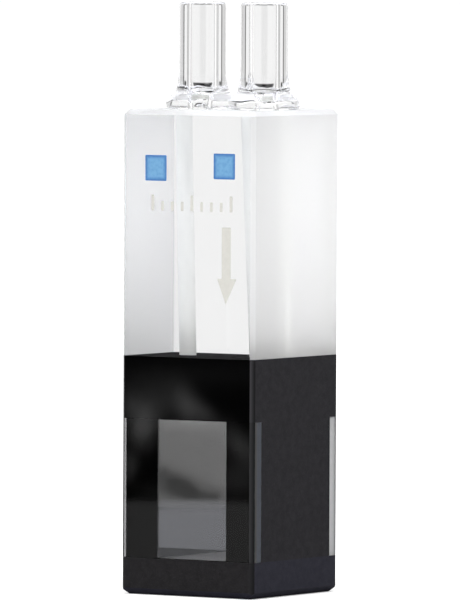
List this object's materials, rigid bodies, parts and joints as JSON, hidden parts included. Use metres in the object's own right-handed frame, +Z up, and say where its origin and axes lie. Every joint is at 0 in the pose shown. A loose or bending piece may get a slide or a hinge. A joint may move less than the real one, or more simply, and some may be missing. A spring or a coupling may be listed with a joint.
{
  "type": "flow-through cuvette",
  "caption": "Square flow-through cuvette: a black quartz cell with clear windows, a tall clear quartz block on it, and inlet and outlet tubes on top.",
  "frame": {"origin": "centre of the base plate's underside", "axes": "+Z up along the body, -Y out of the front window, which carries the marks, +X out of the ground side next to the inlet"},
  "size_m": [0.0126, 0.0126, 0.047],
  "materials": {
    "black_quartz": "black, polished front, back and chamber, ground sides",
    "window_quartz": "clear, polished faces, ground edges",
    "ground_quartz": "clear, polished front and back, ground sides, top and bores",
    "tube_glass": "clear, fire-polished",
    "mark_blue": "matt printed ink",
    "mark_grey": "matt frosted mark"
  },
  "bodies": {
    "root": {"base_plate": "black_quartz", "cell_body": "black_quartz", "front_window": "window_quartz", "back_window": "window_quartz", "front_header": "black_quartz", "back_header": "black_quartz", "clear_block": "ground_quartz", "inlet_tube": "tube_glass", "outlet_tube": "tube_glass"}
  },
  "joints": []
}
